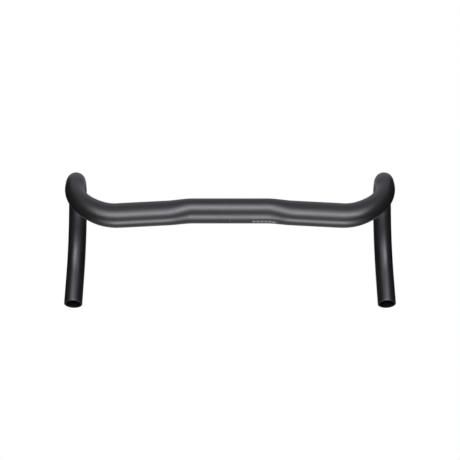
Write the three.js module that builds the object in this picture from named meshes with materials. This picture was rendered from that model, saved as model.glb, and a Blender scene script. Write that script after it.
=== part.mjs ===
// Drop handlebar: three hollow sections joined end to end over two bonded internal sleeves.
// Millimetres. The origin is the centre of the stem clamp zone, +X is the rider's right,
// +Y points forward and +Z points up. The left half mirrors the right half.
import * as THREE from 'three';

const degrees = THREE.MathUtils.degToRad;

// ---------- driving dimensions ----------

// Cross-sections: half of the long and half of the short axis of each oval
const CLAMP_RADIUS = 15.9; // round, 31.8 mm clamp
const TOPS_HALF_WIDTH = 18.4; // fore-and-aft half axis of the oval tops
const TOPS_HALF_HEIGHT = 14.4;
const LEVER_RADIUS = 12.1; // round, 24.2 mm for lever clamps, down to the open end
const OVAL_TILT = degrees(14); // the front edge of the oval tops is lower than the rear edge
const WALL = 2.1;

// Centreline of the right half, from the clamp centre outward
const CLAMP_HALF_LENGTH = 46;
const SWEEP_BEND_RADIUS = 80;
const REARWARD_SWEEP = degrees(8); // just outside the clamp zone
const SWEPT_LENGTH = 15;
const TOPS_SWEEP = degrees(4); // what is left of the sweep along the straight tops
const CORNER_START_X = 140;
const CORNER_RADIUS = 48; // a level turn out of the tops
const CORNER_ANGLE = degrees(28);
const RAMP_RADIUS = 63; // then one wider turn forward and down, as far as the hook
const RAMP_SPLAY = degrees(1); // the hook starts heading outward by this
const RAMP_SLOPE = degrees(14.4); // and downward by this
const HOOK_FLARE = degrees(3); // the plane of the hook leans outward at its foot
const HOOK_RADIUS = 46;
const HOOK_ANGLE = degrees(103.6);
const LOWER_RADIUS = 113.5;
const LOWER_ANGLE = degrees(49.3);
const DROP_LENGTH = 42.3; // the straight end

// Where one cross-section blends into the next
const OVAL_BLEND = 38; // from the clamp's end to the full oval
const TAPER_LEAD = 10; // the taper starts this far before the corner
const TAPER_LENGTH = 108;

// Joint of centre section and drop section, along the straight tops
const JOINT_X = 105;
const SLEEVE_LENGTH = 38;
const SLEEVE_WALL = 1.6;
const GAP = 0.3; // bond line round the sleeve and between the butted ends

// Facets
const SIDES = 24;
const BEND_STEP = degrees(6.5);
const BLEND_STEP = 6;

// ---------- materials ----------

function material(name, color, roughness) {
  return Object.assign(new THREE.MeshStandardMaterial({ color, roughness, metalness: 0 }), { name });
}

const satinBlack = material('satin_black_paint', 0x1a1a1b, 0.42);
const bareComposite = material('bare_composite', 0x232325, 0.6);

// ---------- centreline ----------

// A traveller moves along straights and bends, carrying its heading and the direction of the
// oval's forward half axis, and leaves a station at each step.
class Traveller {
  constructor() {
    this.point = new THREE.Vector3(0, 0, 0);
    this.heading = new THREE.Vector3(1, 0, 0);
    this.side = new THREE.Vector3(0, Math.cos(OVAL_TILT), -Math.sin(OVAL_TILT));
    this.travelled = 0;
    this.stations = [];
    this.leaveStation();
  }

  leaveStation() {
    this.stations.push({
      point: this.point.clone(),
      heading: this.heading.clone(),
      side: this.side.clone(),
      travelled: this.travelled,
    });
  }

  straight(length, steps = 1) {
    for (let i = 0; i < steps; i += 1) {
      this.point.addScaledVector(this.heading, length / steps);
      this.travelled += length / steps;
      this.leaveStation();
    }
  }

  bend(radius, angle, axis) {
    const steps = Math.max(2, Math.ceil(angle / BEND_STEP));
    const step = angle / steps;
    const chord = 2 * radius * Math.sin(step / 2);
    for (let i = 0; i < steps; i += 1) {
      this.heading.applyAxisAngle(axis, step / 2);
      this.point.addScaledVector(this.heading, chord);
      this.heading.applyAxisAngle(axis, step / 2);
      this.side.applyAxisAngle(axis, step);
      this.travelled += radius * step;
      this.leaveStation();
    }
  }

  // Straight on until the given distance from the bar's middle
  straightToX(x, steps = 1) {
    this.straight((x - this.point.x) / this.heading.x, steps);
  }
}

const up = new THREE.Vector3(0, 0, 1);
const down = new THREE.Vector3(0, 0, -1);
const rampHeading = new THREE.Vector3(
  Math.sin(RAMP_SPLAY) * Math.cos(RAMP_SLOPE),
  Math.cos(RAMP_SPLAY) * Math.cos(RAMP_SLOPE),
  -Math.sin(RAMP_SLOPE),
);
const hookFoot = new THREE.Vector3(Math.sin(HOOK_FLARE), 0, -Math.cos(HOOK_FLARE));
const hookAxis = rampHeading.clone().cross(hookFoot).normalize(); // square to the plane of the hook

// From the clamp centre to the joint
const traveller = new Traveller();
traveller.straight(CLAMP_HALF_LENGTH);
traveller.bend(SWEEP_BEND_RADIUS, REARWARD_SWEEP, down);
traveller.straight(SWEPT_LENGTH, Math.ceil(SWEPT_LENGTH / BLEND_STEP));
traveller.bend(SWEEP_BEND_RADIUS, REARWARD_SWEEP - TOPS_SWEEP, up);
traveller.straight(CLAMP_HALF_LENGTH + OVAL_BLEND - traveller.travelled);
traveller.straightToX(JOINT_X);
const innerStations = traveller.stations.slice();

// From the joint to the open end
traveller.straightToX(CORNER_START_X);
const cornerStart = traveller.travelled;
traveller.bend(CORNER_RADIUS, CORNER_ANGLE, up);
const rampAxis = traveller.heading.clone().cross(rampHeading).normalize();
traveller.bend(RAMP_RADIUS, traveller.heading.angleTo(rampHeading), rampAxis);
traveller.bend(HOOK_RADIUS, HOOK_ANGLE, hookAxis);
traveller.bend(LOWER_RADIUS, LOWER_ANGLE, hookAxis);
traveller.straight(DROP_LENGTH);
const outerStations = traveller.stations.slice(innerStations.length - 1);

// ---------- cross-sections ----------

const smooth = (x, start, length) => THREE.MathUtils.smoothstep(x, start, start + length);

// Outer half axes at a distance along the centreline
function halfAxes(travelled) {
  const oval = smooth(travelled, CLAMP_HALF_LENGTH, OVAL_BLEND);
  const taper = smooth(travelled, cornerStart - TAPER_LEAD, TAPER_LENGTH);
  const blended = (clamp, tops, lever) =>
    THREE.MathUtils.lerp(THREE.MathUtils.lerp(clamp, tops, oval), lever, taper);
  return {
    width: blended(CLAMP_RADIUS, TOPS_HALF_WIDTH, LEVER_RADIUS),
    height: blended(CLAMP_RADIUS, TOPS_HALF_HEIGHT, LEVER_RADIUS),
  };
}

// The ring of points round a station, inset from the outer surface
function ring(station, inset) {
  const { width, height } = halfAxes(station.travelled);
  const top = station.heading.clone().cross(station.side);
  return Array.from({ length: SIDES }, (_, i) => {
    const turn = (i / SIDES) * 2 * Math.PI;
    return station.point
      .clone()
      .addScaledVector(station.side, (width - inset) * Math.cos(turn))
      .addScaledVector(top, (height - inset) * Math.sin(turn));
  });
}

// ---------- hollow tubes ----------

// A closed hollow tube: outer skin, inner skin and the two flat annular ends. Each ring is an
// array of points, and the rings run from one end to the other.
function hollowTube(outerRings, innerRings) {
  const rings = [...outerRings, ...innerRings.slice().reverse()];
  const faces = [];
  rings.forEach((_, r) => {
    const next = (r + 1) % rings.length;
    for (let i = 0; i < SIDES; i += 1) {
      const j = (i + 1) % SIDES;
      const a = r * SIDES + i;
      const b = r * SIDES + j;
      const c = next * SIDES + j;
      const d = next * SIDES + i;
      faces.push(a, b, c, a, c, d);
    }
  });
  const geometry = new THREE.BufferGeometry().setFromPoints(rings.flat());
  geometry.setIndex(faces);
  geometry.computeVertexNormals();
  return geometry;
}

function tubeThrough(stations, outerInset, innerInset) {
  return hollowTube(
    stations.map((station) => ring(station, outerInset)),
    stations.map((station) => ring(station, innerInset)),
  );
}

// The same shape on the other side of the X = 0 plane, with its faces still pointing out
function mirrored(geometry) {
  const copy = geometry.clone().scale(-1, 1, 1);
  const index = copy.getIndex();
  for (let i = 0; i < index.count; i += 3) {
    const first = index.getX(i);
    index.setX(i, index.getX(i + 1));
    index.setX(i + 1, first);
  }
  copy.computeVertexNormals();
  return copy;
}

function mirroredStation({ point, heading, side, travelled }) {
  return {
    point: point.clone().setX(-point.x),
    heading: heading.clone().setY(-heading.y).setZ(-heading.z),
    side: side.clone().setX(-side.x),
    travelled,
  };
}

// A station moved along its own heading
function shifted(station, distance) {
  return { ...station, point: station.point.clone().addScaledVector(station.heading, distance) };
}

// ---------- the pieces ----------

const joint = outerStations[0];

// Both ends of the centre section stop half a gap short of the joint
const rightInner = [...innerStations.slice(0, -1), shifted(joint, -GAP / 2)];
const leftInner = rightInner.slice(1).reverse().map(mirroredStation);
const centreGeometry = tubeThrough([...leftInner, ...rightInner], 0, WALL);

const dropGeometry = tubeThrough([shifted(joint, GAP / 2), ...outerStations.slice(1)], 0, WALL);

const sleeveInset = WALL + GAP;
const sleeveEnds = [shifted(joint, -SLEEVE_LENGTH / 2), shifted(joint, SLEEVE_LENGTH / 2)];
const sleeveGeometry = tubeThrough(sleeveEnds, sleeveInset, sleeveInset + SLEEVE_WALL);

const handlebar = new THREE.Group();
handlebar.name = 'drop_handlebar';

function addPiece(name, geometry, paint) {
  const mesh = new THREE.Mesh(geometry, paint);
  mesh.name = name;
  handlebar.add(mesh);
}

addPiece('centre_section', centreGeometry, satinBlack);
addPiece('right_drop_section', dropGeometry, satinBlack);
addPiece('left_drop_section', mirrored(dropGeometry), satinBlack);
addPiece('right_joint_sleeve', sleeveGeometry, bareComposite);
addPiece('left_joint_sleeve', mirrored(sleeveGeometry), bareComposite);

export default handlebar;
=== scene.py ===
"""Looks of the drop handlebar: fine tube surfaces, satin black paint, bare composite and studio light.

The centreline and the cross-sections repeat the CAD model's own driving dimensions, in metres, so each
fine tube lies on the CAD solid that it stands for.
"""

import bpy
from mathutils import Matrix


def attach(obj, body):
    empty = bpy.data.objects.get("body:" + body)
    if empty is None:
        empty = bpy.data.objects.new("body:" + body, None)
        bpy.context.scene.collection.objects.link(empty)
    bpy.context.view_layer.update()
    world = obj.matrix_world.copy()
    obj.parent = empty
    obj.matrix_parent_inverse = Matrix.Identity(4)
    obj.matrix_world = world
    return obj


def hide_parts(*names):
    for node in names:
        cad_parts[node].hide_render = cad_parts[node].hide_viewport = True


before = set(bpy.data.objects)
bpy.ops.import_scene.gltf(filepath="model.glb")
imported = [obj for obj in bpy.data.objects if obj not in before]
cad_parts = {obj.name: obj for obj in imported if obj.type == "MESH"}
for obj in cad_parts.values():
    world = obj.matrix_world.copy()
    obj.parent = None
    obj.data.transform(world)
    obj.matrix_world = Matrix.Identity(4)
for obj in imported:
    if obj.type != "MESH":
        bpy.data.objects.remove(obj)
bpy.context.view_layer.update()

import math
from typing import NamedTuple

import bmesh
import bpy
from mathutils import Quaternion, Vector

MM = 0.001

# ---------- driving dimensions, as in the CAD model ----------

CLAMP_RADIUS = 15.9 * MM
TOPS_HALF_WIDTH = 18.4 * MM
TOPS_HALF_HEIGHT = 14.4 * MM
LEVER_RADIUS = 12.1 * MM
OVAL_TILT = math.radians(14)
WALL = 2.1 * MM

CLAMP_HALF_LENGTH = 46 * MM
SWEEP_BEND_RADIUS = 80 * MM
REARWARD_SWEEP = math.radians(8)
SWEPT_LENGTH = 15 * MM
TOPS_SWEEP = math.radians(4)
CORNER_START_X = 140 * MM
CORNER_RADIUS = 48 * MM
CORNER_ANGLE = math.radians(28)
RAMP_RADIUS = 63 * MM
RAMP_SPLAY = math.radians(1)
RAMP_SLOPE = math.radians(14.4)
HOOK_FLARE = math.radians(3)
HOOK_RADIUS = 46 * MM
HOOK_ANGLE = math.radians(103.6)
LOWER_RADIUS = 113.5 * MM
LOWER_ANGLE = math.radians(49.3)
DROP_LENGTH = 42.3 * MM

OVAL_BLEND = 38 * MM
TAPER_LEAD = 10 * MM
TAPER_LENGTH = 108 * MM
JOINT_X = 105 * MM

# ---------- fineness of the surfaces ----------

SIDES = 96
STEP = 2 * MM
RIM_ROUNDING = 0.5 * MM
RIM_STEPS = 4
SEAM = 0.03 * MM  # each section stops this far from the joint
SKIN_INSET = 0.06 * MM  # keeps the fine tubes inside the CAD model's box, which its facets make smaller
SHARP_EDGE = math.radians(40)
TUBE_MAP = "tube_map"  # UV map: turns round the tube, and metres along its skin

# ---------- finishes ----------

FINE_DETAIL = 2.0  # octaves in the noise of the paint's grain and of the laminate's speckle

PAINT_SHADES = (0.012, 0.026)  # darkest and lightest grain
PAINT_ROUGHNESS = 0.38
PAINT_UNEVENNESS = 0.03  # the roughness varies by this much either way, once by cloud and once by grain
PAINT_IOR = 1.65
PAINT_SPECULAR = 1.0
PAINT_CLOUD = 40 * MM  # size of the patches that are a little more or less glossy
PAINT_PEEL = 2.5 * MM
PAINT_PEEL_DEPTH = 0.006 * MM
PAINT_GRAIN = 0.4 * MM
PAINT_GRAIN_DEPTH = 0.002 * MM
PRINT_SHADE = 0.8


class TickRow(NamedTuple):
    """A row of upright ticks printed on the clamp zone. Angles run from the rear and upward."""

    first_x: float
    last_x: float
    pitch: float
    width: float
    middle: float
    half_height: float
    ink: float  # how much of the ink is there


# A single tick
CENTRE_MARK = TickRow(
    first_x=-0.8 * MM,
    last_x=0.8 * MM,
    pitch=5.0 * MM,
    width=1.6 * MM,
    middle=math.radians(-4.0),
    half_height=math.radians(6.0),
    ink=0.15,
)
BROAD_TICKS = TickRow(
    first_x=27.5 * MM,
    last_x=58.5 * MM,
    pitch=5.0 * MM,
    width=3.8 * MM,
    middle=math.radians(-11.0),
    half_height=math.radians(6.5),
    ink=0.6,
)
FINE_TICKS = TickRow(
    first_x=24.0 * MM,
    last_x=62.0 * MM,
    pitch=3.0 * MM,
    width=1.2 * MM,
    middle=math.radians(15.5),
    half_height=math.radians(4.0),
    ink=0.12,
)

TOWS_ROUND = 40  # a multiple of the twill's repeat, so that the weave closes round the tube
TOW_WIDTH = 1.6 * MM
TWILL_REPEAT = 4  # each tow goes over two tows and under the next two
TWILL_OVER = 2
WEAVE_DEPTH = 0.08 * MM
WEAVE_SHADES = (0.012, 0.020)
WEAVE_ROUGHNESSES = (0.8, 0.62)  # between the tows and on their crowns
WEAVE_SPECULAR = 0.6

LAYER_THICKNESS = 0.15 * MM
LAYER_DEPTH = 0.01 * MM
LAMINATE_SHADES = (0.010, 0.026)
LAMINATE_ROUGHNESSES = (0.6, 0.8)
LAMINATE_SPECULAR = 0.5

BLACK = (0, 0, 0, 1)
WHITE = (1, 1, 1, 1)

# ---------- camera ----------

CAMERA_DISTANCE = 1.63
CAMERA_ELEVATION = math.radians(47)
SENSOR_MM = 36.0
LENS_MM = 101.3
TILT_BELOW_CLAMP = math.radians(0.844)  # the camera aims this far below the clamp's centre

# ---------- lights and floor ----------

LIGHT_DISTANCE = 2.3
LIGHT_TINT = (0.945, 0.93, 1.0)

# Name, lower and upper edge and half width in degrees as seen from the clamp, and radiance.
# Height runs from 0 at the rear horizon over 90 straight above and 180 at the front horizon to 270
# straight below, and below 0 it is under the rear horizon.
SOFTBOXES = [
    ("overhead", 57, 106, 34, 1.5),
    ("overhead_core", 73, 84, 33, 3.4),
    ("rear", -32, 7, 41, 0.7),
    ("rear_core", -24, 3, 20, 2.6),
    ("behind_camera", 10, 65, 30, 0.15),
    ("front_high", 105, 160, 40, 0.18),
    ("front_low", 160, 235, 30, 0.4),
    ("underneath", 240, 280, 30, 0.5),
    ("below", -75, -30, 40, 0.2),
]

FLOOR_HEIGHT = -0.6
FLOOR_HALF_SIZE = 8


# ---------- centreline ----------

class Traveller:
    """Moves along straights and bends, and leaves a station about every two millimetres."""

    def __init__(self):
        self.point = Vector((0, 0, 0))
        self.heading = Vector((1, 0, 0))
        self.side = Vector((0, math.cos(OVAL_TILT), -math.sin(OVAL_TILT)))
        self.travelled = 0.0
        self.stations = []
        self.leave_station()

    def leave_station(self):
        here = (self.point.copy(), self.heading.copy(), self.side.copy(), self.travelled)
        self.stations.append(here)

    def straight(self, length):
        steps = max(1, round(length / STEP))
        for _ in range(steps):
            self.point += self.heading * (length / steps)
            self.travelled += length / steps
            self.leave_station()

    def straight_to_x(self, x):
        self.straight((x - self.point.x) / self.heading.x)

    def bend(self, radius, angle, axis):
        steps = max(2, round(radius * angle / STEP))
        turn = Quaternion(axis, angle / steps)
        half_turn = Quaternion(axis, angle / steps / 2)
        chord = 2 * radius * math.sin(angle / steps / 2)
        for _ in range(steps):
            self.point += (half_turn @ self.heading) * chord
            self.heading = turn @ self.heading
            self.side = turn @ self.side
            self.travelled += radius * angle / steps
            self.leave_station()


def right_half():
    """Stations from the clamp's centre to the joint, then to the bar's end, and where the corner starts."""
    up = Vector((0, 0, 1))
    ramp = Vector((
        math.sin(RAMP_SPLAY) * math.cos(RAMP_SLOPE),
        math.cos(RAMP_SPLAY) * math.cos(RAMP_SLOPE),
        -math.sin(RAMP_SLOPE),
    ))
    hook_foot = Vector((math.sin(HOOK_FLARE), 0, -math.cos(HOOK_FLARE)))
    hook_axis = ramp.cross(hook_foot).normalized()

    traveller = Traveller()
    traveller.straight(CLAMP_HALF_LENGTH)
    traveller.bend(SWEEP_BEND_RADIUS, REARWARD_SWEEP, -up)
    traveller.straight(SWEPT_LENGTH)
    traveller.bend(SWEEP_BEND_RADIUS, REARWARD_SWEEP - TOPS_SWEEP, up)
    traveller.straight(CLAMP_HALF_LENGTH + OVAL_BLEND - traveller.travelled)
    traveller.straight_to_x(JOINT_X)
    joint = len(traveller.stations) - 1
    traveller.straight_to_x(CORNER_START_X)
    corner_start = traveller.travelled
    traveller.bend(CORNER_RADIUS, CORNER_ANGLE, up)
    ramp_axis = traveller.heading.cross(ramp).normalized()
    traveller.bend(RAMP_RADIUS, traveller.heading.angle(ramp), ramp_axis)
    traveller.bend(HOOK_RADIUS, HOOK_ANGLE, hook_axis)
    traveller.bend(LOWER_RADIUS, LOWER_ANGLE, hook_axis)
    traveller.straight(DROP_LENGTH)
    return traveller.stations[: joint + 1], traveller.stations[joint:], corner_start


INNER_STATIONS, OUTER_STATIONS, CORNER_START = right_half()


def mirrored_station(station):
    """The station's twin on the left half, still heading towards +X."""
    point, heading, side, travelled = station
    return (
        Vector((-point.x, point.y, point.z)),
        Vector((heading.x, -heading.y, -heading.z)),
        Vector((-side.x, side.y, side.z)),
        travelled,
    )


# ---------- cross-sections ----------

def smooth(x, start, length):
    t = min(1.0, max(0.0, (x - start) / length))
    return t * t * (3 - 2 * t)


def half_axes(travelled):
    """Outer half width and half height of the section at a distance along the centreline."""
    oval = smooth(travelled, CLAMP_HALF_LENGTH, OVAL_BLEND)
    taper = smooth(travelled, CORNER_START - TAPER_LEAD, TAPER_LENGTH)

    def blended(clamp, tops):
        size = clamp + (tops - clamp) * oval
        return size + (LEVER_RADIUS - size) * taper

    return blended(CLAMP_RADIUS, TOPS_HALF_WIDTH), blended(CLAMP_RADIUS, TOPS_HALF_HEIGHT)


def on_section(station, turn, inset, shift):
    """A point at an angle round a station's section, inset from the skin and shifted along the tube."""
    point, heading, side, travelled = station
    width, height = half_axes(travelled)
    inset += SKIN_INSET
    across = side * ((width - inset) * math.cos(turn))
    upward = heading.cross(side) * ((height - inset) * math.sin(turn))
    return point + heading * shift + across + upward


# ---------- tubes ----------

# Outward is 1 at a tube's last end and -1 at its first.
def joint_end(outward):
    """(inset, shift) of the rings over a square end that stops a hair short of the joint."""
    return [(0.0, -outward * SEAM), (WALL, -outward * SEAM)]


def rim_end(outward):
    """(inset, shift) of the rings over a cut end with both of its edges rounded."""
    outer_edge = []
    inner_edge = []
    for i in range(RIM_STEPS + 1):
        turn = math.pi / 2 * i / RIM_STEPS
        inset = RIM_ROUNDING * (1 - math.cos(turn))
        back = -outward * RIM_ROUNDING * (1 - math.sin(turn))
        outer_edge.append((inset, back))
        inner_edge.append((WALL - inset, back))
    return outer_edge + inner_edge[::-1]


def tube_rows(stations, first_end, last_end):
    """(station, inset, shift) of each ring, in order: outside, over one end, inside, over the other end."""
    between = stations[1:-1]
    rows = [(station, 0.0, 0.0) for station in between]
    rows += [(stations[-1], inset, shift) for inset, shift in last_end(1)]
    rows += [(station, WALL, 0.0) for station in reversed(between)]
    rows += [(stations[0], inset, shift) for inset, shift in reversed(first_end(-1))]
    return rows


def ring_points(row, flipped):
    """The points of one ring, mirrored to the left half if it is flipped."""
    station, inset, shift = row
    turns = [2 * math.pi * i / SIDES for i in range(SIDES)]
    points = [on_section(station, turn, inset, shift) for turn in turns]
    if flipped:
        return [Vector((-point.x, point.y, point.z)) for point in points]
    return points


def skin_material(inset, next_inset):
    """0 for the painted outside and its rounded edge, 1 for the bore, 2 for the cut end."""
    if max(inset, next_inset) <= RIM_ROUNDING:
        return 0
    if min(inset, next_inset) >= WALL:
        return 1
    return 2


def open_tube(name, stations, first_end, last_end, materials, flipped):
    """A hollow tube as one closed skin. The materials are for the outside, the bore and the cut ends."""
    rows = tube_rows(stations, first_end, last_end)
    build = bmesh.new()
    tube_map = build.loops.layers.uv.new(TUBE_MAP)
    rings = [[build.verts.new(point) for point in ring_points(row, flipped)] for row in rows]

    along = 0.0
    for k, near in enumerate(rings):
        after = (k + 1) % len(rings)
        far = rings[after]
        next_along = along + (far[0].co - near[0].co).length
        for i in range(SIDES):
            j = (i + 1) % SIDES
            corners = [
                (near[i], i, along),
                (near[j], i + 1, along),
                (far[j], i + 1, next_along),
                (far[i], i, next_along),
            ]
            if flipped:
                corners.reverse()
            face = build.faces.new([vertex for vertex, _, _ in corners])
            for loop, (_, side, distance) in zip(face.loops, corners):
                loop[tube_map].uv = (side / SIDES, distance)
            face.smooth = True
            face.material_index = skin_material(rows[k][1], rows[after][1])
        along = next_along

    mesh = bpy.data.meshes.new(name)
    build.to_mesh(mesh)
    build.free()
    mesh.set_sharp_from_angle(angle=SHARP_EDGE)
    for material in materials:
        mesh.materials.append(material)
    tube = bpy.data.objects.new(name, mesh)
    bpy.context.scene.collection.objects.link(tube)
    return tube


# ---------- materials ----------

class Finish:
    """A material built from nodes. All methods but fill and set add a node and return what it puts out."""

    def __init__(self, name):
        self.material = bpy.data.materials.new(name)
        self.material.use_nodes = True
        self.nodes = self.material.node_tree.nodes
        self.shader = self.nodes["Principled BSDF"]

    def fill(self, socket, value):
        """Sets a socket to a number, or links it to another node's output."""
        if isinstance(value, bpy.types.NodeSocket):
            self.material.node_tree.links.new(value, socket)
        else:
            socket.default_value = value

    def set(self, **values):
        """Fills the shader's own sockets, named in lower case with _ for each space."""
        by_name = {socket.name.lower().replace(" ", "_"): socket for socket in self.shader.inputs}
        for name, value in values.items():
            self.fill(by_name[name], value)

    def place(self):
        return self.nodes.new("ShaderNodeTexCoord").outputs["Object"]

    def place_on_tube(self):
        node = self.nodes.new("ShaderNodeUVMap")
        node.uv_map = TUBE_MAP
        return node.outputs["UV"]

    def axes(self, vector):
        node = self.nodes.new("ShaderNodeSeparateXYZ")
        self.fill(node.inputs[0], vector)
        return node.outputs["X"], node.outputs["Y"], node.outputs["Z"]

    def calc(self, operation, first, second=0.0, third=0.0):
        node = self.nodes.new("ShaderNodeMath")
        node.operation = operation
        for socket, value in zip(node.inputs, (first, second, third)):
            self.fill(socket, value)
        return node.outputs["Value"]

    def noise(self, place, size, detail=1.0):
        node = self.nodes.new("ShaderNodeTexNoise")
        self.fill(node.inputs["Vector"], place)
        node.inputs["Scale"].default_value = 1 / size
        node.inputs["Detail"].default_value = detail
        return node.outputs["Fac"]

    def spread(self, value, low, high):
        """A value from 0 to 1 spread between two others."""
        node = self.nodes.new("ShaderNodeMapRange")
        self.fill(node.inputs["Value"], value)
        node.inputs["To Min"].default_value = low
        node.inputs["To Max"].default_value = high
        return node.outputs["Result"]

    def blend(self, factor, first, second):
        node = self.nodes.new("ShaderNodeMix")
        self.fill(node.inputs["Factor"], factor)
        self.fill(node.inputs["A"], first)
        self.fill(node.inputs["B"], second)
        return node.outputs["Result"]

    def bump(self, height, depth, under=None):
        """Relief of a given depth in metres, on top of another bump's normal if there is one."""
        node = self.nodes.new("ShaderNodeBump")
        node.inputs["Distance"].default_value = depth
        self.fill(node.inputs["Height"], height)
        if under:
            self.fill(node.inputs["Normal"], under)
        return node.outputs["Normal"]


def tick_marks(finish, x, angle, row):
    """The ink on a row of ticks, and 0 between them and all round."""
    from_middle = finish.calc("ABSOLUTE", finish.calc("SUBTRACT", angle, row.middle))
    in_height = finish.calc("LESS_THAN", from_middle, row.half_height)
    half_span = (row.last_x - row.first_x) / 2
    from_centre = finish.calc("ABSOLUTE", finish.calc("SUBTRACT", x, row.first_x + half_span))
    in_span = finish.calc("LESS_THAN", from_centre, half_span)
    to_tick = finish.calc("ABSOLUTE", finish.calc("WRAP", x, row.pitch / 2, -row.pitch / 2))
    on_tick = finish.calc("LESS_THAN", to_tick, row.width / 2)
    in_row = finish.calc("MULTIPLY", in_height, in_span)
    return finish.calc("MULTIPLY", finish.calc("MULTIPLY", on_tick, in_row), row.ink)


def printed_scale(finish, place):
    """The printed marks on the rider's side of the clamp zone: a centre mark and two rows of ticks."""
    x, y, z = finish.axes(place)
    rearward = finish.calc("MULTIPLY", y, -1.0)
    angle = finish.calc("ARCTAN2", z, rearward)  # 0 at the rear, positive above it
    printed = tick_marks(finish, x, angle, CENTRE_MARK)
    for row in (BROAD_TICKS, FINE_TICKS):
        printed = finish.calc("MAXIMUM", printed, tick_marks(finish, x, angle, row))
    return printed


def satin_paint():
    """Satin black paint: fine grain, faint orange peel, a slightly uneven gloss and the printed scale."""
    finish = Finish("satin_black_paint")
    place = finish.place()
    cloud = finish.noise(place, PAINT_CLOUD)
    peel = finish.noise(place, PAINT_PEEL)
    grain = finish.noise(place, PAINT_GRAIN, FINE_DETAIL)
    printed = printed_scale(finish, place)
    shade = finish.spread(grain, *PAINT_SHADES)
    by_cloud = finish.spread(cloud, -PAINT_UNEVENNESS, PAINT_UNEVENNESS)
    by_grain = finish.spread(grain, -PAINT_UNEVENNESS, PAINT_UNEVENNESS)
    uneven = finish.calc("ADD", by_cloud, by_grain)
    finish.set(
        base_color=finish.blend(printed, shade, PRINT_SHADE),
        roughness=finish.calc("ADD", uneven, PAINT_ROUGHNESS),
        ior=PAINT_IOR,
        specular_ior_level=PAINT_SPECULAR,
        normal=finish.bump(grain, PAINT_GRAIN_DEPTH, finish.bump(peel, PAINT_PEEL_DEPTH)),
    )
    return finish.material


def woven_composite():
    """Bare twill weave, dull and nearly black. The joint sleeves have no tube map, so theirs is plain."""
    finish = Finish("bare_composite")
    turn, along, _ = finish.axes(finish.place_on_tube())
    across = finish.calc("MULTIPLY", turn, TOWS_ROUND)
    down = finish.calc("DIVIDE", along, TOW_WIDTH)
    cell = finish.calc("SUBTRACT", finish.calc("FLOOR", across), finish.calc("FLOOR", down))
    step = finish.calc("WRAP", cell, TWILL_REPEAT, 0.0)
    over = finish.calc("LESS_THAN", step, TWILL_OVER - 0.5)
    crown_across = finish.calc("SINE", finish.calc("MULTIPLY", finish.calc("FRACT", across), math.pi))
    crown_down = finish.calc("SINE", finish.calc("MULTIPLY", finish.calc("FRACT", down), math.pi))
    crown = finish.blend(over, crown_across, crown_down)
    finish.set(
        base_color=finish.blend(over, *WEAVE_SHADES),
        roughness=finish.spread(crown, *WEAVE_ROUGHNESSES),
        specular_ior_level=WEAVE_SPECULAR,
        normal=finish.bump(crown, WEAVE_DEPTH),
    )
    return finish.material


def cut_laminate():
    """The cut ends: thin layers of composite, seen edge on as fine rings."""
    finish = Finish("cut_laminate")
    _, along, _ = finish.axes(finish.place_on_tube())
    layer = finish.calc("PINGPONG", finish.calc("DIVIDE", along, LAYER_THICKNESS), 1.0)
    speckle = finish.noise(finish.place(), PAINT_GRAIN, FINE_DETAIL)
    finish.set(
        base_color=finish.spread(finish.calc("MULTIPLY", layer, speckle), *LAMINATE_SHADES),
        roughness=finish.spread(speckle, *LAMINATE_ROUGHNESSES),
        specular_ior_level=LAMINATE_SPECULAR,
        normal=finish.bump(layer, LAYER_DEPTH),
    )
    return finish.material


# ---------- the bar ----------

composite = woven_composite()
tube_materials = [satin_paint(), composite, cut_laminate()]

centre_stations = [mirrored_station(station) for station in reversed(INNER_STATIONS[1:])]
centre_stations += INNER_STATIONS

TUBES = {
    "centre_section": (centre_stations, joint_end, joint_end, False),
    "right_drop_section": (OUTER_STATIONS, joint_end, rim_end, False),
    "left_drop_section": (OUTER_STATIONS, joint_end, rim_end, True),
}

for node, (stations, first_end, last_end, flipped) in TUBES.items():
    tube = open_tube(node + "_skin", stations, first_end, last_end, tube_materials, flipped)
    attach(tube, "root")
    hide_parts(node)

for node in ("right_joint_sleeve", "left_joint_sleeve"):
    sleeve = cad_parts[node]
    sleeve.data.materials.clear()
    sleeve.data.materials.append(composite)


# ---------- studio ----------

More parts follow.
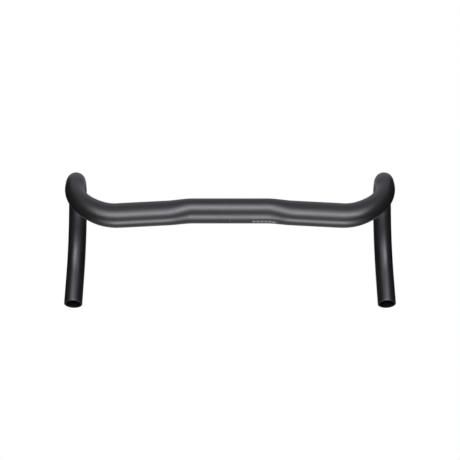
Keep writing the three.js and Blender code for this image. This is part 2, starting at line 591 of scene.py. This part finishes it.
def camera():
    """Looks from behind and above, as the rider does, with the clamp a little above the middle."""
    data = bpy.data.cameras.new("camera")
    data.sensor_width = SENSOR_MM
    data.lens = LENS_MM
    camera_object = bpy.data.objects.new("camera", data)
    camera_object.location = (
        0,
        -CAMERA_DISTANCE * math.cos(CAMERA_ELEVATION),
        CAMERA_DISTANCE * math.sin(CAMERA_ELEVATION),
    )
    camera_object.rotation_euler = (math.pi / 2 - CAMERA_ELEVATION - TILT_BELOW_CLAMP, 0, 0)
    bpy.context.scene.collection.objects.link(camera_object)
    bpy.context.scene.camera = camera_object


def softbox(name, lower, upper, half_width, radiance):
    """A flat light that faces the clamp and spans two angles, from the rear horizon and upward."""
    middle = math.radians(lower + upper) / 2
    height = 2 * LIGHT_DISTANCE * math.tan(math.radians(upper - lower) / 2)
    width = 2 * LIGHT_DISTANCE * math.tan(math.radians(half_width))
    data = bpy.data.lights.new(name, "AREA")
    data.shape = "RECTANGLE"
    data.size = width
    data.size_y = height
    data.color = LIGHT_TINT
    data.energy = math.pi * width * height * radiance
    light = bpy.data.objects.new(name, data)
    light.location = (0, -LIGHT_DISTANCE * math.cos(middle), LIGHT_DISTANCE * math.sin(middle))
    light.rotation_euler = (math.pi / 2 - middle, 0, 0)
    light.visible_camera = False
    bpy.context.scene.collection.objects.link(light)


def white_floor():
    """A plain floor well below the bar, exactly white, that neither lights nor shades the bar."""
    finish = Finish("white_floor")
    finish.set(base_color=BLACK, specular_ior_level=0.0)
    finish.set(emission_color=WHITE, emission_strength=1.0)
    build = bmesh.new()
    bmesh.ops.create_grid(build, x_segments=1, y_segments=1, size=FLOOR_HALF_SIZE)
    mesh = bpy.data.meshes.new("floor")
    build.to_mesh(mesh)
    build.free()
    mesh.materials.append(finish.material)
    floor = bpy.data.objects.new("floor", mesh)
    floor.location.z = FLOOR_HEIGHT
    floor.visible_diffuse = False
    floor.visible_glossy = False
    floor.visible_shadow = False
    bpy.context.scene.collection.objects.link(floor)


def white_room():
    """White wherever the camera looks past the floor. The softboxes are the only light on the bar."""
    world = bpy.data.worlds.new("room")
    bpy.context.scene.world = world
    world.use_nodes = True
    background = world.node_tree.nodes["Background"]
    background.inputs["Color"].default_value = WHITE
    background.inputs["Strength"].default_value = 1.0
    world.cycles_visibility.diffuse = False
    world.cycles_visibility.glossy = False


camera()
white_floor()
white_room()
for settings in SOFTBOXES:
    softbox(*settings)
bpy.context.scene.view_settings.view_transform = "Standard"
